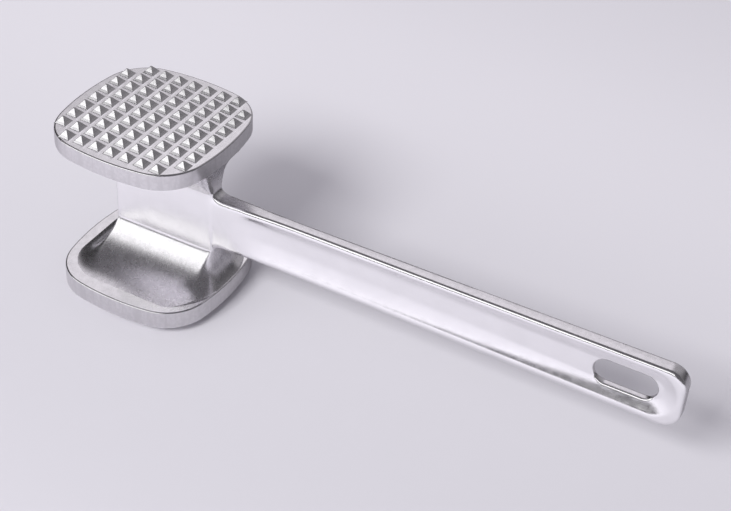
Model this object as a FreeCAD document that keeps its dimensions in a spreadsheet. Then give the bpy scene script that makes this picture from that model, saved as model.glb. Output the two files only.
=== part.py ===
import FreeCAD, Part
import math
import os
import Sketcher

# Two-faced meat mallet, cast in one piece of aluminium: a square head with a toothed plate at each end
# of a narrow waist, and a flat handle, hollowed on both sides, with a hanging slot at its tip.
# The origin is the middle of the lower striking face, at its tooth tips. +Z points up the head,
# +X along the handle to its tip. The four named regions meet face to face along flat planes.

document = FreeCAD.newDocument("meat_mallet")
sizes = document.addObject("Spreadsheet::Sheet", "sizes")

DRIVING = {
    # striking plates, seen from above: four bowed sides with round corners
    "plate_half_width": 27.7,
    "plate_side_radius": 81.0,
    "plate_corner_radius": 16.0,
    "lower_plate_thickness": 6.7,
    "upper_plate_thickness": 5.9,
    "plate_edge_rounding": 0.8,
    # small teeth of the upper face
    "fine_tooth_pitch": 5.6,
    "fine_tooth_base": 4.3,
    "fine_tooth_tip": 0.5,
    "fine_tooth_height": 2.2,
    "fine_teeth_in_row": 9,
    # large teeth of the lower face
    "coarse_tooth_pitch": 9.4,
    "coarse_tooth_base": 8.2,
    "coarse_tooth_tip": 0.8,
    "coarse_tooth_height": 2.6,
    "coarse_teeth_in_row": 5,
    # waist between the plates, with a hollow cove under and over each plate
    "waist_height": 48.1,
    "waist_half_thickness": 3.4,
    "waist_left": 14.0,
    "waist_right": 23.0,
    "cove_height": 12.8,
    "front_cove_run": 20.6,
    "left_cove_run": 9.6,
    "left_cove_height": 11.6,
    "right_cove_run": 4.3,
    "right_cove_height": 11.2,
    "cove_foot_left": 21.6,
    "cove_foot_right": 24.6,
    "cove_foot_side": 21.2,
    "cove_foot_bow": 80.0,
    "cove_foot_corner": 13.0,
    "ridge_rounding_at_web": 0.3,
    "ridge_rounding_at_plate": 12.0,
    # handle, seen from its broad side
    "handle_end": 182.0,
    "root_flare_run": 6.5,
    "root_flare_rise": 3.5,
    "root_half_height": 9.3,
    "tip_half_height": 10.5,
    "tip_corner_radius": 6.0,
    # handle, seen from above
    "root_half_thickness": 3.1,
    "neck_half_thickness": 2.3,
    "neck_from_axis": 52.0,
    "tip_half_thickness": 2.7,
    "handle_edge_rounding": 0.7,
    # dished sides and hanging slot
    "dish_floor_half": 0.95,
    "dish_trough_radius": 21.0,
    "dish_start": 30.0,
    "dish_start_slope": 13.0,
    "dish_end_rim": 1.6,
    "dish_end_slope": 3.0,
    "dish_rim": 1.6,
    "dish_corner": 5.0,
    "slot_length": 20.0,
    "slot_height": 8.6,
    "slot_centre": 163.8,
}

DERIVED = {
    "lower_rim_bottom": "=coarse_tooth_height",
    "waist_bottom": "=lower_rim_bottom + lower_plate_thickness",
    "waist_top": "=waist_bottom + waist_height",
    "upper_rim_top": "=waist_top + upper_plate_thickness",
    "middle": "=waist_bottom + waist_height / 2",
    "plate_bow_centre": "=plate_half_width - plate_side_radius",
    "plate_corner": "=(plate_bow_centre + sqrt(2 * plate_side_radius ^ 2 - plate_bow_centre ^ 2)) / 2",
    "fine_tooth_half": "=fine_tooth_base / 2",
    "fine_tip_half": "=fine_tooth_tip / 2",
    "coarse_tooth_half": "=coarse_tooth_base / 2",
    "coarse_tip_half": "=coarse_tooth_tip / 2",
    "lower_cove_top": "=waist_bottom + cove_height",
    "upper_cove_bottom": "=waist_top - cove_height",
    "left_cove_top": "=waist_bottom + left_cove_height",
    "left_cove_bottom": "=waist_top - left_cove_height",
    "right_cove_top": "=waist_bottom + right_cove_height",
    "right_cove_bottom": "=waist_top - right_cove_height",
    "front_cove_edge": "=waist_half_thickness + front_cove_run",
    "left_cove_edge": "=waist_left + left_cove_run",
    "right_cove_edge": "=waist_right + right_cove_run",
    "front_cove_radius": "=(front_cove_run ^ 2 + cove_height ^ 2) / (2 * cove_height)",
    "left_cove_radius": "=(left_cove_run ^ 2 + left_cove_height ^ 2) / (2 * left_cove_run)",
    "right_cove_radius": "=(right_cove_run ^ 2 + right_cove_height ^ 2) / (2 * right_cove_run)",
    "root_end": "=waist_right + root_flare_run",
    "root_low": "=middle - root_half_height",
    "root_high": "=middle + root_half_height",
    "flare_low": "=root_low - root_flare_rise",
    "flare_high": "=root_high + root_flare_rise",
    "flare_radius": "=(root_flare_run ^ 2 + root_flare_rise ^ 2) / (2 * root_flare_rise)",
    "tip_low": "=middle - tip_half_height",
    "tip_high": "=middle + tip_half_height",
    "dish_far": "=handle_end - dish_end_rim",
    "dish_floor_start": "=dish_start + dish_start_slope",
    "dish_floor_end": "=dish_far - dish_end_slope",
    "dish_axis_depth": "=dish_floor_half + dish_trough_radius",
    "dish_root_low": "=root_low + dish_rim",
    "dish_root_high": "=root_high - dish_rim",
    "dish_tip_low": "=tip_low + dish_rim",
    "dish_tip_high": "=tip_high - dish_rim",
    "dish_far_bend": "=dish_far - dish_corner",
    "dish_start_bend": "=dish_start + dish_corner",
    "dish_far_low_bend": "=dish_tip_low + dish_corner",
    "dish_far_high_bend": "=dish_tip_high - dish_corner",
    "dish_start_low_bend": "=dish_root_low + dish_corner",
    "dish_start_high_bend": "=dish_root_high - dish_corner",
    "slot_half": "=slot_height / 2",
    "slot_first": "=slot_centre - slot_length / 2 + slot_half",
    "slot_last": "=slot_centre + slot_length / 2 - slot_half",
    "slot_low": "=middle - slot_half",
    "slot_high": "=middle + slot_half",
    "blank_half_thickness": "=root_half_thickness + 1",
    "blank_end": "=handle_end + 5",
}

for row, (alias, cell) in enumerate({**DRIVING, **DERIVED}.items(), start=1):
    sizes.set(f"A{row}", alias)
    sizes.set(f"B{row}", str(cell))
    sizes.setAlias(f"B{row}", alias)
document.recompute()


def value(name):
    """The number that a size holds; a leading minus turns its sign."""
    return -value(name[1:]) if name.startswith("-") else float(sizes.get(name))


def bound(name):
    """The expression that binds a property to a size."""
    return "-sizes." + name[1:] if name.startswith("-") else "sizes." + name


def origin_plane(body, role):
    return next(plane for plane in body.Origin.OriginFeatures if plane.Role == role)


def arc_between(start, end, radius):
    """An arc from start to end: a positive radius bulges it to the right of the way from start to end."""
    a = FreeCAD.Vector(*start, 0)
    b = FreeCAD.Vector(*end, 0)
    half = (b - a) / 2
    left = FreeCAD.Vector(-half.y, half.x, 0).normalize()
    drop = math.sqrt(max(radius ** 2 - half.Length ** 2, 0))
    side = 1 if radius > 0 else -1
    centre = a + half + left * drop * side
    circle = Part.Circle(centre, FreeCAD.Vector(0, 0, 1), abs(radius))
    first, last = (a, b) if side > 0 else (b, a)
    return Part.ArcOfCircle(circle, circle.parameter(first), circle.parameter(last))


def draw_outline(sketch, corners, arcs=None, half_circles=()):
    """Draws a closed outline through corners, each a pair of size names, and binds it to the sheet.
    arcs gives the radius name of an edge that is round, by the number of the corner where it starts.
    half_circles lists the edges that are half circles, with their centre straight above that corner."""
    arcs = arcs or {}
    points = [(value(across), value(up)) for across, up in corners]

    def hold(name, *constraint):
        """Adds a constraint and binds it to a size."""
        sketch.addConstraint(Sketcher.Constraint(*constraint))
        sketch.setExpression(f"Constraints[{sketch.ConstraintCount - 1}]", bound(name))

    ends = []
    for number, start in enumerate(points):
        end = points[(number + 1) % len(points)]
        if number in half_circles:
            edge = sketch.addGeometry(arc_between(start, end, math.dist(start, end) / 2), False)
            hold(corners[number][0], "DistanceX", -1, 1, edge, 3, start[0])
            ends.append((edge, 1, 2))
        elif number in arcs:
            radius = value(arcs[number])
            edge = sketch.addGeometry(arc_between(start, end, radius), False)
            hold(arcs[number].lstrip("-"), "Radius", edge, abs(radius))
            ends.append((edge, 1, 2) if radius > 0 else (edge, 2, 1))
        else:
            line = Part.LineSegment(FreeCAD.Vector(*start, 0), FreeCAD.Vector(*end, 0))
            ends.append((sketch.addGeometry(line, False), 1, 2))
    for number, corner in enumerate(corners):
        edge, first, last = ends[number]
        before, _, before_last = ends[number - 1]
        sketch.addConstraint(Sketcher.Constraint("Coincident", before, before_last, edge, first))
        for kind, name in zip(("DistanceX", "DistanceY"), corner):
            hold(name, kind, -1, 1, edge, first, value(name))


def body_sketch(body, name, role, level=None):
    """A sketch on one of the body's own planes, raised along its normal by a named size."""
    sketch = body.newObject("Sketcher::SketchObject", name)
    sketch.AttachmentSupport = [(origin_plane(body, role), "")]
    sketch.MapMode = "FlatFace"
    if level:
        sketch.setExpression("AttachmentOffset.Base.z", bound(level))
    return sketch


def free_sketch(name, turn):
    """A sketch for an extrusion, standing in the plane that turn gives."""
    sketch = document.addObject("Sketcher::SketchObject", name)
    sketch.Placement = FreeCAD.Placement(FreeCAD.Vector(), turn)
    return sketch


def prism_of(sketch, length, symmetric):
    prism = document.addObject("Part::Extrusion", sketch.Name + "_prism")
    prism.Base = sketch
    prism.DirMode = "Normal"
    prism.Solid = True
    prism.Symmetric = symmetric
    prism.setExpression("LengthFwd", length)
    return prism


def pad(body, name, sketch, length, symmetric=False):
    feature = body.newObject("PartDesign::Pad", name)
    feature.Profile = sketch
    if symmetric:
        feature.SideType = "Symmetric"
    feature.setExpression("Length", length)
    return feature


def pocket_through(body, name, sketch, reversed_cut=False, both_ways=False):
    """Cuts the sketch right through the body and makes sure that it removed something."""
    before = body.Shape.Volume
    feature = body.newObject("PartDesign::Pocket", name)
    feature.Profile = sketch
    if both_ways:
        feature.SideType = "Symmetric"
    feature.Type = "ThroughAll"
    feature.Reversed = reversed_cut
    document.recompute()
    if not feature.Shape.Volume < before - 1:
        raise RuntimeError(f"{name} cut nothing")
    return feature


def edges_where(shape, test):
    return [f"Edge{number}" for number, edge in enumerate(shape.Edges, start=1) if test(edge)]


def is_upright(edge):
    box = edge.BoundBox
    return box.ZLength > 1 and box.XLength < 1e-6 and box.YLength < 1e-6


def fillet(body, name, base, test, radius):
    feature = body.newObject("PartDesign::Fillet", name)
    feature.Base = (base, edges_where(base.Shape, test))
    feature.setExpression("Radius", bound(radius))
    document.recompute()
    return feature


# Striking plates. The toothed faces are the most skilful part of the casting: square rows of
# four-sided pyramids with flat valleys between them, kept clear of the round corners of the plate.

def striking_plate(label, bottom, thickness, teeth, face_up):
    """A plate with bowed sides and a grid of pyramid teeth on its outer face."""
    body = document.addObject("PartDesign::Body", label)
    body.Label = label
    outline = body_sketch(body, label + "_outline", "XY_Plane", bottom)
    draw_outline(outline, square("plate_corner"), dict.fromkeys(range(4), "plate_side_radius"))
    slab = pad(body, label + "_slab", outline, bound(thickness))
    document.recompute()
    rounded = fillet(body, label + "_corners", slab, is_upright, "plate_corner_radius")
    fillet(body, label + "_rim", rounded, lambda edge: edge.BoundBox.ZLength < 1e-6, "plate_edge_rounding")

    face = "upper_rim_top" if face_up else "lower_rim_bottom"
    per_row = int(value(teeth + "_teeth_in_row"))
    for band, rows, in_row in (("long", per_row - 2, per_row), ("short", 2, per_row - 2)):
        tooth_rows(body, f"{label}_{band}", teeth, face, face_up, rows, in_row, per_row)
    return body


def square(half):
    return [(half, "-" + half), (half, half), ("-" + half, half), ("-" + half, "-" + half)]


def tooth_rows(body, name, teeth, face, face_up, rows, in_row, per_row):
    """Rows of one tooth, copied along and across the plate. The two short rows are the outermost."""
    foot = body_sketch(body, name + "_foot", "XY_Plane", face)
    tip = body_sketch(body, name + "_tip", "XY_Plane", face)
    sign = "+" if face_up else "-"
    tip.setExpression("AttachmentOffset.Base.z", f"sizes.{face} {sign} sizes.{teeth}_tooth_height")
    first_row = (per_row - 1) / 2 if rows == 2 else (rows - 1) / 2
    step = (per_row - 1) / (rows - 1) if rows == 2 else 1
    for sketch, half in ((foot, teeth + "_tooth_half"), (tip, teeth + "_tip_half")):
        draw_outline(sketch, square(half))
        sketch.setExpression("AttachmentOffset.Base.x", f"-{(in_row - 1) / 2} * sizes.{teeth}_tooth_pitch")
        sketch.setExpression("AttachmentOffset.Base.y", f"-{first_row} * sizes.{teeth}_tooth_pitch")
    tooth = body.newObject("PartDesign::AdditiveLoft", name + "_tooth")
    tooth.Profile = foot
    tooth.Sections = [tip]
    tooth.Ruled = True
    document.recompute()
    grid = body.newObject("PartDesign::LinearPattern", name + "_grid")
    grid.Originals = [tooth]
    grid.Direction = (foot, ["H_Axis"])
    grid.Mode = "Extent"
    grid.setExpression("Length", f"{in_row - 1} * sizes.{teeth}_tooth_pitch")
    grid.Occurrences = in_row
    grid.Direction2 = (foot, ["V_Axis"])
    grid.Mode2 = "Extent"
    grid.setExpression("Length2", f"{(rows - 1) * step} * sizes.{teeth}_tooth_pitch")
    grid.Occurrences2 = rows
    body.Tip = grid
    document.recompute()


plates = [
    striking_plate("fine_toothed_plate", "waist_top", "upper_plate_thickness", "fine", True),
    striking_plate("coarse_toothed_plate", "lower_rim_bottom", "lower_plate_thickness", "coarse", False),
]


# Waist. Its side profile, its end profile and the foot of its coves are three prisms, and what they
# share is the web with four concave coves at each plate that meet along mitred ridges.

def waist():
    side = free_sketch("waist_side_profile", FreeCAD.Rotation(FreeCAD.Vector(1, 0, 0), 90))
    draw_outline(
        side,
        [
            ("-left_cove_edge", "waist_bottom"),
            ("right_cove_edge", "waist_bottom"),
            ("waist_right", "right_cove_top"),
            ("waist_right", "right_cove_bottom"),
            ("right_cove_edge", "waist_top"),
            ("-left_cove_edge", "waist_top"),
            ("-waist_left", "left_cove_bottom"),
            ("-waist_left", "left_cove_top"),
        ],
        {1: "-right_cove_radius", 3: "-right_cove_radius", 5: "-left_cove_radius", 7: "-left_cove_radius"},
    )
    end = free_sketch("waist_end_profile", FreeCAD.Rotation(FreeCAD.Vector(1, 1, 1), 120))
    draw_outline(
        end,
        [
            ("-front_cove_edge", "waist_bottom"),
            ("front_cove_edge", "waist_bottom"),
            ("waist_half_thickness", "lower_cove_top"),
            ("waist_half_thickness", "upper_cove_bottom"),
            ("front_cove_edge", "waist_top"),
            ("-front_cove_edge", "waist_top"),
            ("-waist_half_thickness", "upper_cove_bottom"),
            ("-waist_half_thickness", "lower_cove_top"),
        ],
        dict.fromkeys((1, 3, 5, 7), "-front_cove_radius"),
    )
    foot = free_sketch("cove_foot", FreeCAD.Rotation())
    draw_outline(
        foot,
        [
            ("cove_foot_right", "-cove_foot_side"),
            ("cove_foot_right", "cove_foot_side"),
            ("-cove_foot_left", "cove_foot_side"),
            ("-cove_foot_left", "-cove_foot_side"),
        ],
        dict.fromkeys(range(4), "cove_foot_bow"),
    )
    prisms = [prism_of(sketch, "2 * sizes.plate_half_width", True) for sketch in (side, end)]
    crossed = common("crossed_coves", prisms)
    rounded_ridges = document.addObject("Part::Fillet", "rounded_ridges")
    rounded_ridges.Base = crossed
    rounded_ridges.Edges = [
        (number, *ridge_radii(edge))
        for number, edge in enumerate(crossed.Shape.Edges, start=1)
        if is_ridge(edge)
    ]
    foot_prism = prism_of(foot, "sizes.upper_rim_top", False)
    document.recompute()
    rounded_foot = document.addObject("Part::Fillet", "rounded_foot")
    rounded_foot.Base = foot_prism
    radius = value("cove_foot_corner")
    upright = [number for number, edge in enumerate(foot_prism.Shape.Edges, start=1) if is_upright(edge)]
    rounded_foot.Edges = [(number, radius, radius) for number in upright]
    return common("waist", [rounded_ridges, rounded_foot])


def is_ridge(edge):
    """True for an edge where two coves meet, which rises and leans outwards."""
    box = edge.BoundBox
    half_cove = value("right_cove_height") / 2
    return box.ZLength > half_cove and box.YLength > half_cove


def ridge_radii(edge):
    """The rounding at the edge's first and last point: it grows from the web to the plate."""
    radii = (value("ridge_rounding_at_web"), value("ridge_rounding_at_plate"))
    middle = value("middle")
    first = abs(edge.valueAt(edge.FirstParameter).z - middle)
    last = abs(edge.valueAt(edge.LastParameter).z - middle)
    return radii if first < last else radii[::-1]


def common(name, shapes):
    shared = document.addObject("Part::MultiCommon", name)
    shared.Shapes = shapes
    document.recompute()
    return shared


waist_piece = waist()


# Handle. A flared, slightly tapering bar, thicker at its root and tip than at its neck, dished on both
# broad sides down to a thin web, with round tip corners and a slot through the web to hang it by.

def handle():
    body = document.addObject("PartDesign::Body", "handle_bar")
    outline = body_sketch(body, "handle_outline", "XZ_Plane")
    draw_outline(
        outline,
        [
            ("waist_right", "flare_low"),
            ("root_end", "root_low"),
            ("handle_end", "tip_low"),
            ("handle_end", "tip_high"),
            ("root_end", "root_high"),
            ("waist_right", "flare_high"),
        ],
        {0: "-flare_radius", 4: "-flare_radius"},
    )
    blank = pad(body, "handle_blank", outline, "2 * sizes.blank_half_thickness", symmetric=True)
    document.recompute()

    for name, side in (("front", "-"), ("back", "")):
        sliver = body_sketch(body, f"{name}_taper", "XY_Plane")
        corners = [
            ("waist_right", side + "root_half_thickness"),
            ("neck_from_axis", side + "neck_half_thickness"),
            ("blank_end", side + "tip_half_thickness"),
            ("blank_end", side + "blank_half_thickness"),
            ("waist_right", side + "blank_half_thickness"),
        ]
        draw_outline(sliver, corners)
        pocket_through(body, f"{name}_taper_cut", sliver, reversed_cut=True)

    fillet(body, "tip_corners", body.Tip, is_tip_corner, "tip_corner_radius")
    fillet(body, "edge_rounding", body.Tip, is_broad_rim, "handle_edge_rounding")

    slot = body_sketch(body, "hanging_slot", "XZ_Plane")
    draw_outline(
        slot,
        [
            ("slot_first", "slot_low"),
            ("slot_last", "slot_low"),
            ("slot_last", "slot_high"),
            ("slot_first", "slot_high"),
        ],
        half_circles=(1, 3),
    )
    pocket_through(body, "slot_cut", slot, both_ways=True)

    piece = body
    for name, tool in (
        ("front_dished_bar", dish("front", "-")),
        ("dished_bar", dish("back", "")),
        ("handle", waist_piece),
    ):
        cut = document.addObject("Part::Cut", name)
        cut.Base = piece
        cut.Tool = tool
        document.recompute()
        piece = cut
    piece.Label = "handle"
    return piece


def dish(name, side):
    """What a dish takes away: a long trough, kept inside a round-cornered outline and two end slopes."""
    outline = free_sketch(name + "_dish_outline", FreeCAD.Rotation(FreeCAD.Vector(1, 0, 0), 90))
    corners = [
        ("dish_start_bend", "dish_root_low"),
        ("dish_far_bend", "dish_tip_low"),
        ("dish_far", "dish_far_low_bend"),
        ("dish_far", "dish_far_high_bend"),
        ("dish_far_bend", "dish_tip_high"),
        ("dish_start_bend", "dish_root_high"),
        ("dish_start", "dish_start_high_bend"),
        ("dish_start", "dish_start_low_bend"),
    ]
    draw_outline(outline, corners, dict.fromkeys((1, 3, 5, 7), "dish_corner"))
    slopes = free_sketch(name + "_dish_slopes", FreeCAD.Rotation())
    corners = [
        ("dish_start", side + "root_half_thickness"),
        ("dish_floor_start", side + "dish_floor_half"),
        ("dish_floor_end", side + "dish_floor_half"),
        ("dish_far", side + "tip_half_thickness"),
        ("dish_far", side + "blank_half_thickness"),
        ("dish_start", side + "blank_half_thickness"),
    ]
    draw_outline(slopes, corners)
    trough = document.addObject("Part::Cylinder", name + "_dish_trough")
    trough.Placement = FreeCAD.Placement(FreeCAD.Vector(), FreeCAD.Rotation(FreeCAD.Vector(0, 1, 0), 90))
    trough.setExpression("Radius", bound("dish_trough_radius"))
    trough.setExpression("Height", bound("blank_end"))
    trough.setExpression("Placement.Base.y", bound(side + "dish_axis_depth"))
    trough.setExpression("Placement.Base.z", bound("middle"))
    prisms = [
        prism_of(outline, "2 * sizes.blank_half_thickness", True),
        prism_of(slopes, "sizes.upper_rim_top", False),
    ]
    return common(name + "_dish", [*prisms, trough])


def is_tip_corner(edge):
    """True for the two edges that cross the bar's thickness at its end."""
    box = edge.BoundBox
    crosses = box.YLength > value("tip_half_thickness") and box.ZLength < 0.01
    return crosses and box.XMin > value("handle_end") - 0.01


def is_broad_rim(edge):
    """True for the edges round a broad face, but not for one that crosses the face or lies at the root."""
    box = edge.BoundBox
    on_broad_face = box.YMin * box.YMax > 0
    crosses_face = box.XLength < 0.01 and box.ZLength > value("root_half_height")
    at_tip = box.XMax > value("handle_end") - 0.01
    at_root = box.XMax < value("waist_right") + 0.01
    return on_broad_face and not at_root and (at_tip or not crosses_face)


handle_piece = handle()
document.recompute()

for thing in document.Objects:
    if {"Invalid", "Error"} & set(thing.State):
        raise RuntimeError(f"{thing.Label} did not build: {thing.State}")

pieces = [*plates, waist_piece, handle_piece]
os.makedirs("parts", exist_ok=True)
for piece in pieces:
    shape = piece.Shape
    if shape.isNull() or not shape.isValid():
        raise RuntimeError(f"{piece.Label} has no valid shape")
    print(piece.Label, len(shape.Solids), "solid,", len(shape.Faces), "faces,", round(shape.Volume), "mm3")
    shape.exportStep(f"parts/{piece.Label}.step")
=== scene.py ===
import math

import bmesh
import bpy
import numpy as np
from mathutils import Matrix, Vector


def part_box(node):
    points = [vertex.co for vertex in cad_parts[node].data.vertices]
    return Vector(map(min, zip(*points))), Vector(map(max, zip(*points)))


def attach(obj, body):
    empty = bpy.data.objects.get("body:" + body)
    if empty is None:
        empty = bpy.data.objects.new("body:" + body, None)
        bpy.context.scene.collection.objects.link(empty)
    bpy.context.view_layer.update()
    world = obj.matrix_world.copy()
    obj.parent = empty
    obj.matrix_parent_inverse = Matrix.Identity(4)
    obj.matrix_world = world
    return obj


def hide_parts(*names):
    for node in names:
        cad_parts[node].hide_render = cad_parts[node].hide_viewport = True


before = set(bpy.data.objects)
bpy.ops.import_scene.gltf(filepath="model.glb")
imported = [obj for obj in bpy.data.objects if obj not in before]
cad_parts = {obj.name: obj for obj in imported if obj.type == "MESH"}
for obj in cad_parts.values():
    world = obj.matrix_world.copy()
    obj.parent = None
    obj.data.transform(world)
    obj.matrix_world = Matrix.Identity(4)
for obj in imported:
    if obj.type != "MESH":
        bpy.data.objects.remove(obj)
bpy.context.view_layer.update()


# Waist and handle. In the real mallet they are one run of cast aluminium: a flat web that spreads into
# hollow coves at each plate, and a bar that grows out of it, dished on both sides and slotted near its
# tip. They are made as one rounded solid from distance rules in millimetres, so no seam shows.
mm = 0.001
waist_low, waist_high = (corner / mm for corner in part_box("waist"))
handle_low, handle_high = (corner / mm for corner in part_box("handle"))
half_gap = (waist_high.z - waist_low.z) / 2
middle = (waist_high.z + waist_low.z) / 2


def soft_max(a, b, softness):
    """The larger of two distances, with the corner between them rounded."""
    blend = np.maximum(softness - np.abs(a - b), 0) / softness
    return np.maximum(a, b) + blend * blend * softness / 4


def soft_min(a, b, softness):
    """The smaller of two distances, with the corner between them filled."""
    return -soft_max(-a, -b, softness)


def round_corner(a, b, radius):
    """Distance to what two distances share, with a round corner of that radius."""
    over_a, over_b = a + radius, b + radius
    outside = np.hypot(np.maximum(over_a, 0), np.maximum(over_b, 0))
    return outside + np.minimum(np.maximum(over_a, over_b), 0) - radius


def ease(value, low, high):
    """Goes smoothly from 0 at low to 1 at high."""
    part = np.clip((value - low) / (high - low), 0, 1)
    return part * part * (3 - 2 * part)


plate_half_width = 27.7
plate_side_radius = 81.0
plate_corner_radius = 16.0


def plate_outline_distance(x, y):
    """Distance to the outline of a striking plate, seen from above."""
    bow = plate_side_radius - plate_half_width
    across = np.hypot(np.abs(x) + bow, y) - plate_side_radius
    along = np.hypot(x, np.abs(y) + bow) - plate_side_radius
    return round_corner(across, along, plate_corner_radius)


web_half_thickness = 3.4
web_left = 14.0
web_right = handle_low.x
front_cove_run = 20.8
front_cove_rise = 12.8
left_cove_run = 9.6
left_cove_rise = 12.0
right_cove_run = 4.3
right_cove_rise = 11.2
cove_overrun = 0.06
cove_arc_limit = 0.9995


def cove_reach(up, wall, run, rise, smooth_at_plate):
    """How far the metal reaches out at a height above the middle, and how fast that grows. The cove is
    an arc that meets the plate smoothly and creases the wall, or one that leaves the wall smoothly."""
    if smooth_at_plate:
        drop = rise + cove_overrun
        radius = (run * run + drop * drop) / (2 * drop)
        climb = np.clip(up - half_gap - cove_overrun + radius, radius - drop, radius * cove_arc_limit)
        root = np.sqrt(radius * radius - climb * climb)
        starts = up > half_gap - rise
        return np.where(starts, wall + run - root, wall), np.where(starts, climb / root, 0)
    radius = (run * run + rise * rise) / (2 * run)
    climb = np.clip(up - half_gap + rise, 0, rise + cove_overrun)
    root = np.sqrt(radius * radius - climb * climb)
    return wall + radius - root, climb / root


steepest_cove = 12.0
ridge_at_web = 0.6
ridge_growth = 12.5
left_ridge_power = 5.0
right_ridge_power = 1.5
left_to_right_blend = 5.0
ridge_blend = 2.0
inside_plate_edge = 0.35
reach_into_plate = 0.5


def waist(x, side, up):
    """Distance to the upper half of the waist: front and end coves that meet along mitred ridges."""
    front, front_slope = cove_reach(up, web_half_thickness, front_cove_run, front_cove_rise, True)
    left, left_slope = cove_reach(up, web_left, left_cove_run, left_cove_rise, False)
    right, right_slope = cove_reach(up, web_right, right_cove_run, right_cove_rise, False)
    way_down = np.clip((up - half_gap + front_cove_rise) / front_cove_rise, 0, 1)
    to_the_right = ease(x, -left_to_right_blend, left_to_right_blend)
    power = left_ridge_power + (right_ridge_power - left_ridge_power) * to_the_right
    ridge = ridge_at_web + ridge_growth * way_down ** power
    past_end = np.maximum(-x - left, x - right)
    past_front = side - front
    end_slope = left_slope + (right_slope - left_slope) * to_the_right
    slope = end_slope + (front_slope - end_slope) * ease(past_front - past_end, -ridge_blend, ridge_blend)
    steepness = np.sqrt(1 + np.minimum(slope, steepest_cove) ** 2)
    coves = round_corner(past_end, past_front, ridge) / steepness
    edge = plate_outline_distance(x, side) + inside_plate_edge
    return np.maximum(np.maximum(coves, edge), up - half_gap - reach_into_plate)


dish_start = 29.0
dish_ramp = 16.0
dish_end = 180.3
dish_corner = 8.5
dish_rim = 1.9
dish_lift_at_tip = 0.4
dish_depth_at_root = 1.35
dish_depth_at_tip = 1.95
trough_from_axis = 70.0
trough_flattens_by = 168.0
upper_wall_width = 4.6
lower_wall_width = 9.0
upper_to_lower_blend = 4.0
wall_width_at_tip = 4.8
wall_power_in_trough = 2.4
wall_power_at_tip = 1.2


def dish_depth(x, up, half_height, length_share):
    """How deep the dish is: a round trough that turns into a flat bowl with sloped walls at the tip."""
    to_tip = ease(x, trough_from_axis, trough_flattens_by)
    across = np.abs(up - dish_lift_at_tip * to_tip) - (half_height - dish_rim)
    to_upper = ease(up, -upper_to_lower_blend, upper_to_lower_blend)
    trough_wall = lower_wall_width + (upper_wall_width - lower_wall_width) * to_upper
    wall = trough_wall + (wall_width_at_tip - trough_wall) * to_tip
    power = wall_power_in_trough + (wall_power_at_tip - wall_power_in_trough) * to_tip
    inside = np.clip(-round_corner(x - dish_end, across, dish_corner) / wall, -1, 1)
    share = np.where(inside > 0, 1 - (1 - np.abs(inside)) ** power, power * inside)
    depth = dish_depth_at_root + (dish_depth_at_tip - dish_depth_at_root) * length_share
    return depth * ease(x, dish_start, dish_start + dish_ramp) * share


handle_end = handle_high.x
root_half_height = 9.3
tip_half_height = 10.5
tip_corner = 6.0
web_corner = 0.5
flare_softness = 4.5
draft = 0.03
root_half_thickness = 3.15
neck_half_thickness = 2.35
neck_from_axis = 52.0
tip_half_thickness = 2.75
web_thins_from = web_right - 8
web_thins_by = web_right + 6
rim_crown_width = 1.7
rim_crown_slope = 0.72
rim_edge_softness = 0.55
dish_edge_softness = 0.3
slot_centre = 163.8
slot_half_length = 10.0
slot_half_height = 4.3
slot_softness = 0.6


def bar(x, side, up):
    """Distance to the web and handle: one flared outline with crowned rims, dishes and the slot."""
    length_share = (x - web_right) / (handle_end - web_right)
    half_height = root_half_height + (tip_half_height - root_half_height) * length_share
    bar_middle = (handle_end + web_left) / 2
    past_bar_end = np.abs(x - bar_middle) - (handle_end - bar_middle)
    straight = round_corner(past_bar_end, np.abs(up) - half_height, tip_corner)
    web_middle = (web_right - web_left) / 2
    past_web_end = np.abs(x - web_middle) - (web_right + web_left) / 2
    web = round_corner(past_web_end, np.abs(up) - half_gap, web_corner)
    outline = soft_min(straight, web, flare_softness) + draft * side

    at_neck = ease(x, web_right, neck_from_axis)
    at_tip = ease(x, neck_from_axis, handle_end)
    thickness = root_half_thickness + (neck_half_thickness - root_half_thickness) * at_neck
    thickness = thickness + (tip_half_thickness - neck_half_thickness) * at_tip
    at_web = 1 - ease(x, web_thins_from, web_thins_by)
    thickness = thickness + (web_half_thickness - root_half_thickness) * at_web
    crown = rim_crown_slope * np.maximum(rim_crown_width + outline, 0) ** 2 / (2 * rim_crown_width)
    crown = np.minimum(crown, rim_crown_slope * rim_crown_width / 2)
    dish = soft_max(dish_depth(x, up, half_height, length_share), 0, dish_edge_softness)
    solid = soft_max(outline, side - (thickness - crown - dish), rim_edge_softness)
    slot_reach = np.maximum(np.abs(x - slot_centre) - slot_half_length + slot_half_height, 0)
    slot = slot_half_height - np.hypot(slot_reach, up)
    return soft_max(solid, slot, slot_softness)


root_softness = 0.6


def casting(x, y, z):
    """Distance, near enough, to the surface of the waist and handle."""
    up = z - middle
    return soft_min(bar(x, np.abs(y), up), waist(x, np.abs(y), np.abs(up)), root_softness)


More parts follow.
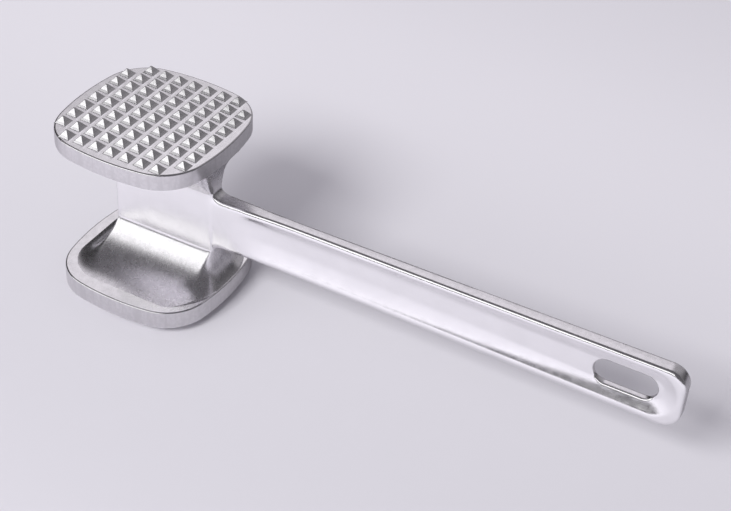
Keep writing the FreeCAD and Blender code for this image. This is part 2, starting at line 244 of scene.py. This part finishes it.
def skin(distance, low, high, step):
    """Points and quads of the surface where the distance is zero, inside the box from low to high."""
    axes = [np.arange(a - step, b + 2 * step, step) for a, b in zip(low, high)]
    field = distance(*np.meshgrid(*axes, indexing="ij"))
    inside = field < 0
    shape = np.array(field.shape) - 1
    corners = [(i, j, k) for i in (0, 1) for j in (0, 1) for k in (0, 1)]

    def at_corner(array, corner):
        return array[tuple(slice(c, c + n) for c, n in zip(corner, shape))]

    total = np.zeros((*shape, 3))
    count = np.zeros(shape)
    for start in corners:
        for axis in range(3):
            if start[axis]:
                continue
            end = tuple(1 if n == axis else c for n, c in enumerate(start))
            a, b = at_corner(field, start), at_corner(field, end)
            crossed = at_corner(inside, start) != at_corner(inside, end)
            part = np.where(crossed, a / np.where(a == b, 1, a - b), 0)
            for n in range(3):
                total[..., n] += np.where(crossed, part if n == axis else start[n], 0)
            count += crossed
    used = count > 0
    number = np.full(shape, -1)
    number[used] = np.arange(used.sum())
    points = (np.argwhere(used) + total[used] / count[used][:, None]) * step + [axis[0] for axis in axes]

    quads = []
    for axis in range(3):
        others = [n for n in range(3) if n != axis]
        here = [slice(None)] * 3
        there = [slice(None)] * 3
        here[axis], there[axis] = slice(0, -1), slice(1, None)
        flips = np.argwhere(inside[tuple(here)] != inside[tuple(there)])
        flips = flips[(flips[:, others] > 0).all(1) & (flips[:, others] < shape[others]).all(1)]
        ring = []
        for back in ((0, 0), (1, 0), (1, 1), (0, 1)):
            cell = flips.copy()
            cell[:, others[0]] -= back[0]
            cell[:, others[1]] -= back[1]
            ring.append(number[tuple(cell.T)])
        ring = np.stack(ring, 1)
        leaves = inside[tuple(flips.T)]
        turned = leaves if axis == 1 else ~leaves
        ring[turned] = ring[turned][:, ::-1]
        quads.append(ring)
    return points, np.concatenate(quads)


def slope(distance, points, reach):
    """The direction in which the distance grows at each point."""
    rise = []
    for axis in range(3):
        ahead, behind = points.copy(), points.copy()
        ahead[:, axis] += reach
        behind[:, axis] -= reach
        rise.append((distance(*ahead.T) - distance(*behind.T)) / (2 * reach))
    return np.stack(rise, 1)


grid_step = 0.5
grid_margin = 1.0
settling_rounds = 4
settling_reach = 0.02
least_slope_squared = 0.05
normal_reach = 0.08
points, quads = skin(
    casting,
    (-plate_half_width, -plate_half_width, waist_low.z - grid_margin),
    (handle_end + grid_margin, plate_half_width, waist_high.z + grid_margin),
    grid_step,
)
for settling in range(settling_rounds):
    rise = slope(casting, points, settling_reach)
    slope_squared = np.maximum((rise * rise).sum(1), least_slope_squared)
    shift = casting(*points.T)[:, None] * rise / slope_squared[:, None]
    points -= np.clip(shift, -grid_step, grid_step)
core_mesh = bpy.data.meshes.new("waist_and_handle")
core_mesh.from_pydata(points * mm, [], quads)
core_mesh.shade_smooth()
normals = slope(casting, points, normal_reach)
normals /= np.linalg.norm(normals, axis=1)[:, None]
core_mesh.normals_split_custom_set_from_vertices(normals)
core = bpy.data.objects.new("waist_and_handle", core_mesh)
bpy.context.scene.collection.objects.link(core)

mottle_scale = 420
blotch_scale = 900
stain_scale = 650
stain_stretch = (1, 1, 0.10)
sheen_scale = 120
wave_scale = 95
wave_height = 0.05
streak_scale = 900
streak_stretch = (1, 1, 0.12)
streak_height = 0.006
grain_scale = 1800
grain_height = 0.005
dull_polish = (0.925, 0.915, 0.93)
clear_polish = (0.96, 0.95, 0.965)
blotch_shade = 0.90
stain_shade = 0.88
roughest_polish = 1.4
smoothest_cast = 0.93
roughest_cast = 1.07


def cast_aluminium(name, polished_rough, cast_rough, cast_grey, where_cast):
    """Bare aluminium. Where it is polished it is brighter and smoother, with soft waves left by the
    buffing wheel. Where it is as cast it is greyer, mottled and finely pitted."""
    metal = bpy.data.materials.new(name)
    metal.use_nodes = True
    nodes, links = metal.node_tree.nodes, metal.node_tree.links
    shader = nodes["Principled BSDF"]
    shader.inputs["Metallic"].default_value = 1
    place = nodes.new("ShaderNodeTexCoord").outputs["Object"]

    def noise(scale, detail, stretch=(1, 1, 1)):
        stretched = nodes.new("ShaderNodeMapping")
        stretched.inputs["Scale"].default_value = stretch
        links.new(place, stretched.inputs["Vector"])
        texture = nodes.new("ShaderNodeTexNoise")
        texture.inputs["Scale"].default_value = scale
        texture.inputs["Detail"].default_value = detail
        links.new(stretched.outputs["Vector"], texture.inputs["Vector"])
        return texture.outputs["Fac"]

    def ramp(source, low, high, start=0.35, end=0.65):
        spread_out = nodes.new("ShaderNodeMapRange")
        for label, number in (("From Min", start), ("From Max", end), ("To Min", low), ("To Max", high)):
            if isinstance(number, (int, float)):
                spread_out.inputs[label].default_value = number
            else:
                links.new(number, spread_out.inputs[label])
        links.new(source, spread_out.inputs["Value"])
        return spread_out.outputs["Result"]

    def blend(first, second, share):
        mix = nodes.new("ShaderNodeMix")
        mix.data_type = "RGBA"
        for socket, colour in ((mix.inputs["A"], first), (mix.inputs["B"], second)):
            if isinstance(colour, tuple):
                socket.default_value = (*colour, 1)
            else:
                links.new(colour, socket)
        links.new(share, mix.inputs["Factor"])
        return mix.outputs["Result"]

    def bump(height, distance, below=None):
        node = nodes.new("ShaderNodeBump")
        node.inputs["Strength"].default_value = 1
        node.inputs["Distance"].default_value = distance * mm
        links.new(height, node.inputs["Height"])
        if below:
            links.new(below, node.inputs["Normal"])
        return node.outputs["Normal"]

    def shaded(colour, shade):
        return tuple(part * shade for part in colour)

    cast = where_cast(nodes, links, place, ramp)
    rough_low = ramp(cast, polished_rough, cast_rough * smoothest_cast, start=0, end=1)
    rough_high = ramp(cast, polished_rough * roughest_polish, cast_rough * roughest_cast, start=0, end=1)
    links.new(ramp(noise(mottle_scale, detail=5), rough_low, rough_high), shader.inputs["Roughness"])

    polish = blend(dull_polish, clear_polish, ramp(noise(sheen_scale, detail=3), 0, 1))
    blotches = ramp(noise(blotch_scale, detail=5), 0, 1)
    stains = ramp(noise(stain_scale, detail=3, stretch=stain_stretch), 0, 1, start=0.5, end=0.7)
    grey = blend(shaded(cast_grey, blotch_shade), cast_grey, blotches)
    grey = blend(grey, shaded(cast_grey, stain_shade), stains)
    links.new(blend(polish, grey, cast), shader.inputs["Base Color"])

    waves = bump(noise(wave_scale, detail=2), wave_height)
    streaks = bump(noise(streak_scale, detail=3, stretch=streak_stretch), streak_height, waves)
    grain = bump(noise(grain_scale, detail=3), grain_height, streaks)
    links.new(grain, shader.inputs["Normal"])
    return metal


def absolute(nodes, links, source):
    """The size of a number, whichever its sign."""
    node = nodes.new("ShaderNodeMath")
    node.operation = "ABSOLUTE"
    links.new(source, node.inputs[0])
    return node.outputs[0]


def facing(nodes, links, axis):
    """How squarely the surface faces along an axis, from 0 to 1."""
    split = nodes.new("ShaderNodeSeparateXYZ")
    links.new(nodes.new("ShaderNodeNewGeometry").outputs["Normal"], split.inputs[0])
    return absolute(nodes, links, split.outputs[axis])


narrow_side_below = 0.25
broad_face_above = 0.80
cast_from_middle = 9.0
fully_cast_from_middle = 16.0


def coves_are_cast(nodes, links, place, ramp):
    """The share of the cast finish: the coves beside the plates and the handle's narrow sides keep it."""
    narrow_side = ramp(facing(nodes, links, "Y"), 1, 0, narrow_side_below, broad_face_above)
    split = nodes.new("ShaderNodeSeparateXYZ")
    links.new(place, split.inputs[0])
    above_middle = nodes.new("ShaderNodeMath")
    above_middle.operation = "SUBTRACT"
    links.new(split.outputs["Z"], above_middle.inputs[0])
    above_middle.inputs[1].default_value = middle * mm
    from_middle = absolute(nodes, links, above_middle.outputs[0])
    either = nodes.new("ShaderNodeMath")
    either.operation = "MAXIMUM"
    in_cove = ramp(from_middle, 0, 1, cast_from_middle * mm, fully_cast_from_middle * mm)
    links.new(in_cove, either.inputs[0])
    links.new(narrow_side, either.inputs[1])
    return either.outputs[0]


core_mesh.materials.append(cast_aluminium(
    "polished_casting",
    polished_rough=0.15,
    cast_rough=0.27,
    cast_grey=(0.86, 0.845, 0.87),
    where_cast=coves_are_cast,
))
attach(core, "root")
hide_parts("waist", "handle")


# Striking plates. The real ones are thick squares with bowed sides and round corners, cast with the
# waist and ground flat round the rim. The upper face has small four-sided teeth and the lower face
# large ones, in straight rows that leave out the four corners.
fine_teeth_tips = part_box("fine_toothed_plate")[1].z / mm
coarse_teeth_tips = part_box("coarse_toothed_plate")[0].z / mm
fine_tooth = {"pitch": 5.6, "base": 4.1, "tip": 0.5, "height": 2.2, "in_row": 9}
coarse_tooth = {"pitch": 9.4, "base": 8.2, "tip": 0.8, "height": 2.6, "in_row": 5}
inner_rim_rounding = 0.6
outer_rim_rounding = 0.65
rounding_steps = 6
side_points = 16
corner_points = 20


def plate_outline(inset):
    """Points round a plate, moved in along the outline's own normals."""
    bow = plate_side_radius - plate_half_width
    inner = plate_side_radius - plate_corner_radius
    corner = (-bow + math.sqrt(2 * inner ** 2 - bow ** 2)) / 2
    bend = math.atan2(corner, corner + bow)
    ring = []
    for quarter in range(4):
        turn = Matrix.Rotation(quarter * math.pi / 2, 2)
        for number in range(side_points):
            angle = bend * (2 * number / side_points - 1)
            reach = plate_side_radius - inset
            ring.append(turn @ Vector((reach * math.cos(angle) - bow, reach * math.sin(angle))))
        for number in range(corner_points):
            angle = bend + (math.pi / 2 - 2 * bend) * number / corner_points
            reach = plate_corner_radius - inset
            ring.append(turn @ Vector((corner + reach * math.cos(angle), corner + reach * math.sin(angle))))
    return ring


def plate_slab(name, inner, outer):
    """A closed plate from its inner face, against the waist, to its outer face."""
    way = 1 if outer > inner else -1
    rings = []
    for number in range(rounding_steps + 1):
        turn = number / rounding_steps * math.pi / 2
        rings.append((inner_rim_rounding * (1 - math.sin(turn)),
                      inner + way * inner_rim_rounding * (1 - math.cos(turn))))
    for number in range(rounding_steps + 1):
        turn = number / rounding_steps * math.pi / 2
        rings.append((outer_rim_rounding * (1 - math.cos(turn)),
                      outer - way * outer_rim_rounding * (1 - math.sin(turn))))
    slab = bmesh.new()
    loops = [
        [slab.verts.new((point.x * mm, point.y * mm, height * mm)) for point in plate_outline(inset)]
        for inset, height in rings
    ]
    for lower, upper in zip(loops, loops[1:]):
        for number, corner in enumerate(lower):
            following = (number + 1) % len(lower)
            wall = slab.faces.new((corner, lower[following], upper[following], upper[number]))
            wall.smooth = True
    slab.faces.new(loops[0])
    slab.faces.new(loops[-1])
    bmesh.ops.recalc_face_normals(slab, faces=slab.faces)
    mesh = bpy.data.meshes.new(name)
    slab.to_mesh(mesh)
    slab.free()
    plate = bpy.data.objects.new(name, mesh)
    bpy.context.scene.collection.objects.link(plate)
    return plate


tooth_corner_rounding = 0.13
tooth_corner_points = 3
tip_rounding = 0.15
tip_inset = 0.12
foot_flare = 0.2
foot_height = 0.1
foot_depth = 0.12
flare_inset = 0.05
face_hollow = 0.06
hollow_levels = (0.3, 0.62)


def one_tooth(size):
    """A four-sided tooth on the level z = 0: its foot flares, its faces are a little hollow, and its
    ridges and tip are rounded."""
    base, tip, height = size["base"] / 2, size["tip"] / 2, size["height"]
    side_slope = (base - tip) / height
    levels = [(-foot_depth, base + foot_flare), (foot_height, base - flare_inset)]
    for share in hollow_levels:
        hollow = face_hollow * base * share * (1 - share)
        levels.append((height * share, base - height * share * side_slope - hollow))
    levels.append((height - tip_rounding, tip + tip_rounding * side_slope - flare_inset))
    levels.append((height, tip - tip_inset))
    tooth = bmesh.new()
    rings = []
    for level, half in levels:
        ring = []
        for corner in range(4):
            middle_angle = math.radians(90 * corner + 45)
            across = math.copysign(half - tooth_corner_rounding, math.cos(middle_angle))
            along = math.copysign(half - tooth_corner_rounding, math.sin(middle_angle))
            for number in range(tooth_corner_points):
                angle = math.radians(90 * corner + 45 * number)
                x = across + math.cos(angle) * tooth_corner_rounding
                y = along + math.sin(angle) * tooth_corner_rounding
                ring.append(tooth.verts.new((x * mm, y * mm, level * mm)))
        rings.append(ring)
    for lower, upper in zip(rings, rings[1:]):
        for number, corner in enumerate(lower):
            following = (number + 1) % len(lower)
            tooth.faces.new((corner, lower[following], upper[following], upper[number]))
    tooth.faces.new(rings[0][::-1])
    tooth.faces.new(rings[-1])
    mesh = bpy.data.meshes.new("tooth")
    tooth.to_mesh(mesh)
    tooth.free()
    return bpy.data.objects.new("tooth", mesh)


def add_teeth(plate, metal, face, way, size):
    """Copies one tooth over a grid without its corners, in a geometry node tree, and keeps the mesh."""
    tooth = one_tooth(size)
    tree = bpy.data.node_groups.new(plate.name + "_teeth", "GeometryNodeTree")
    tree.interface.new_socket("Geometry", in_out="INPUT", socket_type="NodeSocketGeometry")
    tree.interface.new_socket("Geometry", in_out="OUTPUT", socket_type="NodeSocketGeometry")
    kinds = {"Pitch": "NodeSocketFloat", "Face": "NodeSocketFloat", "Teeth in row": "NodeSocketInt",
             "Tooth": "NodeSocketObject", "Metal": "NodeSocketMaterial"}
    sockets = {
        label: tree.interface.new_socket(label, in_out="INPUT", socket_type=kind)
        for label, kind in kinds.items()
    }
    nodes, links = tree.nodes, tree.links
    given = nodes.new("NodeGroupInput").outputs
    result = nodes.new("NodeGroupOutput")

    def calculate(operation, *sources):
        node = nodes.new("ShaderNodeMath")
        node.operation = operation
        for socket, source in zip(node.inputs, sources):
            if isinstance(source, (int, float)):
                socket.default_value = source
            else:
                links.new(source, socket)
        return node.outputs[0]

    span = calculate("MULTIPLY", calculate("SUBTRACT", given["Teeth in row"], 1), given["Pitch"])
    grid = nodes.new("GeometryNodeMeshGrid")
    for socket in ("Size X", "Size Y"):
        links.new(span, grid.inputs[socket])
    for socket in ("Vertices X", "Vertices Y"):
        links.new(given["Teeth in row"], grid.inputs[socket])
    place = nodes.new("ShaderNodeSeparateXYZ")
    links.new(nodes.new("GeometryNodeInputPosition").outputs[0], place.inputs[0])
    last_row = calculate("SUBTRACT", calculate("MULTIPLY", span, 0.5),
                         calculate("MULTIPLY", given["Pitch"], 0.5))
    nearer = calculate("MINIMUM", calculate("ABSOLUTE", place.outputs["X"]),
                       calculate("ABSOLUTE", place.outputs["Y"]))
    bare_corners = nodes.new("GeometryNodeDeleteGeometry")
    links.new(grid.outputs["Mesh"], bare_corners.inputs["Geometry"])
    links.new(calculate("GREATER_THAN", nearer, last_row), bare_corners.inputs["Selection"])

    model = nodes.new("GeometryNodeObjectInfo")
    links.new(given["Tooth"], model.inputs["Object"])
    copies = nodes.new("GeometryNodeInstanceOnPoints")
    links.new(bare_corners.outputs["Geometry"], copies.inputs["Points"])
    links.new(model.outputs["Geometry"], copies.inputs["Instance"])
    seat = nodes.new("GeometryNodeTransform")
    seat.inputs["Rotation"].default_value = (0 if way > 0 else math.pi, 0, 0)
    lift = nodes.new("ShaderNodeCombineXYZ")
    links.new(given["Face"], lift.inputs["Z"])
    links.new(lift.outputs[0], seat.inputs["Translation"])
    links.new(copies.outputs["Instances"], seat.inputs["Geometry"])
    joined = nodes.new("GeometryNodeJoinGeometry")
    links.new(seat.outputs["Geometry"], joined.inputs[0])
    links.new(given["Geometry"], joined.inputs[0])
    real = nodes.new("GeometryNodeRealizeInstances")
    links.new(joined.outputs[0], real.inputs[0])
    coat = nodes.new("GeometryNodeSetMaterial")
    links.new(real.outputs[0], coat.inputs["Geometry"])
    links.new(given["Metal"], coat.inputs["Material"])
    links.new(coat.outputs[0], result.inputs[0])

    modifier = plate.modifiers.new("teeth", "NODES")
    modifier.node_group = tree
    values = {"Pitch": size["pitch"] * mm, "Face": face * mm, "Teeth in row": size["in_row"],
              "Tooth": tooth, "Metal": metal}
    for label, value in values.items():
        modifier[sockets[label].identifier] = value
    graph = bpy.context.evaluated_depsgraph_get()
    made = bpy.data.meshes.new_from_object(plate.evaluated_get(graph))
    plate.modifiers.clear()
    plate.data = made
    bpy.data.objects.remove(tooth)


rim_below = 0.15
face_above = 0.45
cast_share_of_faces = 0.25


def rims_are_cast(nodes, links, place, ramp):
    """The share of the cast finish: the ground rims are greyer than the striking faces."""
    return ramp(facing(nodes, links, "Z"), 1, cast_share_of_faces, rim_below, face_above)


toothed_metal = cast_aluminium(
    "toothed_casting",
    polished_rough=0.18,
    cast_rough=0.30,
    cast_grey=(0.68, 0.665, 0.685),
    where_cast=rims_are_cast,
)
for name, node, inner, outer, tips, size in (
    ("upper_striking_plate", "fine_toothed_plate", waist_high.z, fine_teeth_tips - fine_tooth["height"],
     fine_teeth_tips, fine_tooth),
    ("lower_striking_plate", "coarse_toothed_plate", waist_low.z, coarse_teeth_tips + coarse_tooth["height"],
     coarse_teeth_tips, coarse_tooth),
):
    plate = plate_slab(name, inner, outer)
    add_teeth(plate, toothed_metal, outer, 1 if tips > outer else -1, size)
    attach(plate, "root")
    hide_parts(node)


# Camera, at the photograph's viewing angle. The angles are in degrees and the place is in metres: the
# camera looks down at the mallet from in front, a little to the right of the head.
camera_lens = 75.8
camera_place = (0.24215, -0.33084, 0.33198)
camera_heading = 26.50
camera_dip = 38.17
camera_roll = 3.82
camera_data = bpy.data.cameras.new("camera")
camera_data.lens = camera_lens
camera_data.clip_start = 0.01
camera = bpy.data.objects.new("camera", camera_data)
bpy.context.scene.collection.objects.link(camera)
camera_turn = (Matrix.Rotation(math.radians(camera_heading), 4, "Z")
               @ Matrix.Rotation(math.radians(90 - camera_dip), 4, "X")
               @ Matrix.Rotation(math.radians(camera_roll), 4, "Z"))
camera.matrix_world = Matrix.Translation(camera_place) @ camera_turn
bpy.context.scene.camera = camera


# Room. Bare metal mirrors it, so it is plain but not even: dim overhead, dark to the left and low at
# the back right, with a pale wall high behind. Its other light is even, and the backdrop is pale.
room_grey = (0.11, 0.105, 0.115)
even_light = (0.39, 0.38, 0.41)
backdrop = (0.70, 0.685, 0.735)
patch_tint = (1, 0.965, 1.02)
world = bpy.data.worlds.new("studio")
bpy.context.scene.world = world
world.use_nodes = True
room, join = world.node_tree.nodes, world.node_tree.links
looking = room.new("ShaderNodeTexCoord").outputs["Generated"]
ray = room.new("ShaderNodeLightPath").outputs


def direction(azimuth, elevation):
    """A unit vector; azimuth is in degrees from -Y towards +X, and elevation is above the floor."""
    turned, raised = math.radians(azimuth), math.radians(elevation)
    level = math.cos(raised)
    return Vector((math.sin(turned) * level, -math.cos(turned) * level, math.sin(raised)))


def mixed(first, second, share):
    """A blend of two of the room's colours."""
    mix = room.new("ShaderNodeMix")
    mix.data_type = "RGBA"
    for socket, colour in ((mix.inputs["A"], first), (mix.inputs["B"], second)):
        if isinstance(colour, tuple):
            socket.default_value = (*colour, 1)
        else:
            join.new(colour, socket)
    join.new(share, mix.inputs["Factor"])
    return mix.outputs["Result"]


def patch(around, towards, full_within, gone_beyond, brightness):
    """Adds a round soft patch of some brightness to the room; the two angles are in degrees."""
    nearness = room.new("ShaderNodeVectorMath")
    nearness.operation = "DOT_PRODUCT"
    nearness.inputs[1].default_value = direction(*towards)
    join.new(looking, nearness.inputs[0])
    fade = room.new("ShaderNodeMapRange")
    fade.interpolation_type = "SMOOTHSTEP"
    fade.inputs["From Min"].default_value = math.cos(math.radians(gone_beyond))
    fade.inputs["From Max"].default_value = math.cos(math.radians(full_within))
    join.new(nearness.outputs["Value"], fade.inputs["Value"])
    return mixed(around, tuple(brightness * part for part in patch_tint), fade.outputs["Result"])


mirrored = patch(room_grey, towards=(150, 8), full_within=35, gone_beyond=60, brightness=0.16)
mirrored = patch(mirrored, towards=(-112, 6), full_within=32, gone_beyond=48, brightness=0.04)
mirrored = patch(mirrored, towards=(172, 32), full_within=10, gone_beyond=38, brightness=0.36)
mirrored = patch(mirrored, towards=(140, 0), full_within=9, gone_beyond=20, brightness=0.03)
mirrored = patch(mirrored, towards=(-152, 46), full_within=14, gone_beyond=22, brightness=0.92)
lighting = mixed(even_light, mirrored, ray["Is Glossy Ray"])
join.new(mixed(lighting, backdrop, ray["Is Camera Ray"]), room["Background"].inputs["Color"])


# Lamps. A wide soft box stands low in front, a little to the left, and a smaller one hangs above it
# to deepen the shadow. Only the wide one shows in the metal.
lamp_aim = Vector((0.03, 0, 0.03))


def soft_box(name, azimuth, elevation, distance, width, height, watts):
    """A rectangular soft box that points at the mallet's head."""
    data = bpy.data.lights.new(name, "AREA")
    data.shape = "RECTANGLE"
    data.size, data.size_y = width, height
    data.energy = watts
    lamp = bpy.data.objects.new(name, data)
    bpy.context.scene.collection.objects.link(lamp)
    lamp.location = lamp_aim + direction(azimuth, elevation) * distance
    lamp.rotation_euler = (lamp_aim - lamp.location).to_track_quat("-Z", "Y").to_euler()
    return lamp


soft_box("wide_soft_box", azimuth=-25, elevation=24.5, distance=1.0, width=1.7, height=0.53, watts=3.6)
high_box = soft_box("high_soft_box", azimuth=-9, elevation=43, distance=1.0, width=0.42, height=0.32,
                    watts=7.3)
high_box.visible_glossy = False


# Floor. A sheet of pale paper with painted light falloff: darker in front, paler towards the back. The metal
# mirrors it with a painted glow in front of the mallet and painted shade behind, neither of which the camera
# sees.
floor_left, floor_right = -1.5, 1.6
floor_front, floor_back = -0.75, 1.8
# The two paper colours differ by painted light falloff: the front one is painted darker, the back one paler.
front_paper = (0.67, 0.655, 0.70)
back_paper = (0.93, 0.91, 0.96)
# Painted shade: the dark colour the metal mirrors on the floor behind the mallet, in place of its shadow.
painted_shade_in_reflection = (0.25, 0.24, 0.26)
# Painted light: the colour of the glow the metal mirrors on the floor in front of the mallet.
painted_glow_in_reflection = (1, 0.975, 1.03)
floor_mesh = bpy.data.meshes.new("floor")
floor_mesh.from_pydata([
    (floor_left, floor_front, 0),
    (floor_right, floor_front, 0),
    (floor_right, floor_back, 0),
    (floor_left, floor_back, 0),
], [], [(0, 1, 2, 3)])
floor = bpy.data.objects.new("floor", floor_mesh)
bpy.context.scene.collection.objects.link(floor)

paper = bpy.data.materials.new("pale_floor")
paper.use_nodes = True
paper_nodes, paper_links = paper.node_tree.nodes, paper.node_tree.links
paper_shader = paper_nodes["Principled BSDF"]
paper_place = paper_nodes.new("ShaderNodeSeparateXYZ")
paper_links.new(paper_nodes.new("ShaderNodeTexCoord").outputs["Object"], paper_place.inputs[0])
mirrored_ray = paper_nodes.new("ShaderNodeLightPath").outputs["Is Glossy Ray"]


def along_floor(front, back, at_front, at_back, kind):
    """A number that changes between two places on the floor, given in metres along Y."""
    change = paper_nodes.new("ShaderNodeMapRange")
    change.interpolation_type = kind
    change.inputs["From Min"].default_value = front
    change.inputs["From Max"].default_value = back
    change.inputs["To Min"].default_value = at_front
    change.inputs["To Max"].default_value = at_back
    paper_links.new(paper_place.outputs["Y"], change.inputs["Value"])
    return change.outputs["Result"]


def only_mirrored(number):
    """The number where the metal mirrors the floor, and 0 elsewhere."""
    product = paper_nodes.new("ShaderNodeMath")
    product.operation = "MULTIPLY"
    paper_links.new(number, product.inputs[0])
    paper_links.new(mirrored_ray, product.inputs[1])
    return product.outputs[0]


paper_colour = paper_nodes.new("ShaderNodeMix")
paper_colour.data_type = "RGBA"
paper_colour.inputs["A"].default_value = (*front_paper, 1)
paper_colour.inputs["B"].default_value = (*back_paper, 1)
# Painted light falloff: the paper goes from the darker front colour to the paler back colour.
painted_falloff_share = along_floor(front=-0.10, back=0.20, at_front=0, at_back=1, kind="SMOOTHSTEP")
paper_links.new(painted_falloff_share, paper_colour.inputs["Factor"])
paper_with_painted_shade = paper_nodes.new("ShaderNodeMix")
paper_with_painted_shade.data_type = "RGBA"
paper_with_painted_shade.inputs["B"].default_value = (*painted_shade_in_reflection, 1)
paper_links.new(paper_colour.outputs["Result"], paper_with_painted_shade.inputs["A"])
# Painted shade in reflections: the floor just behind the mallet turns darker, but only where the metal
# mirrors it.
painted_shade_share = along_floor(front=-0.025, back=0.05, at_front=0, at_back=0.65, kind="LINEAR")
paper_links.new(only_mirrored(painted_shade_share), paper_with_painted_shade.inputs["Factor"])
paper_links.new(paper_with_painted_shade.outputs["Result"], paper_shader.inputs["Base Color"])
# Painted glow in reflections: the floor in front of the mallet emits light, but only where the metal mirrors
# it.
painted_glow_share = along_floor(front=-0.08, back=-0.01, at_front=0.22, at_back=0, kind="LINEAR")
paper_links.new(only_mirrored(painted_glow_share), paper_shader.inputs["Emission Strength"])
paper_shader.inputs["Emission Color"].default_value = (*painted_glow_in_reflection, 1)
paper_shader.inputs["Roughness"].default_value = 0.9
paper_shader.inputs["Specular IOR Level"].default_value = 0.2
floor_mesh.materials.append(paper)

bpy.context.scene.view_settings.view_transform = "Standard"
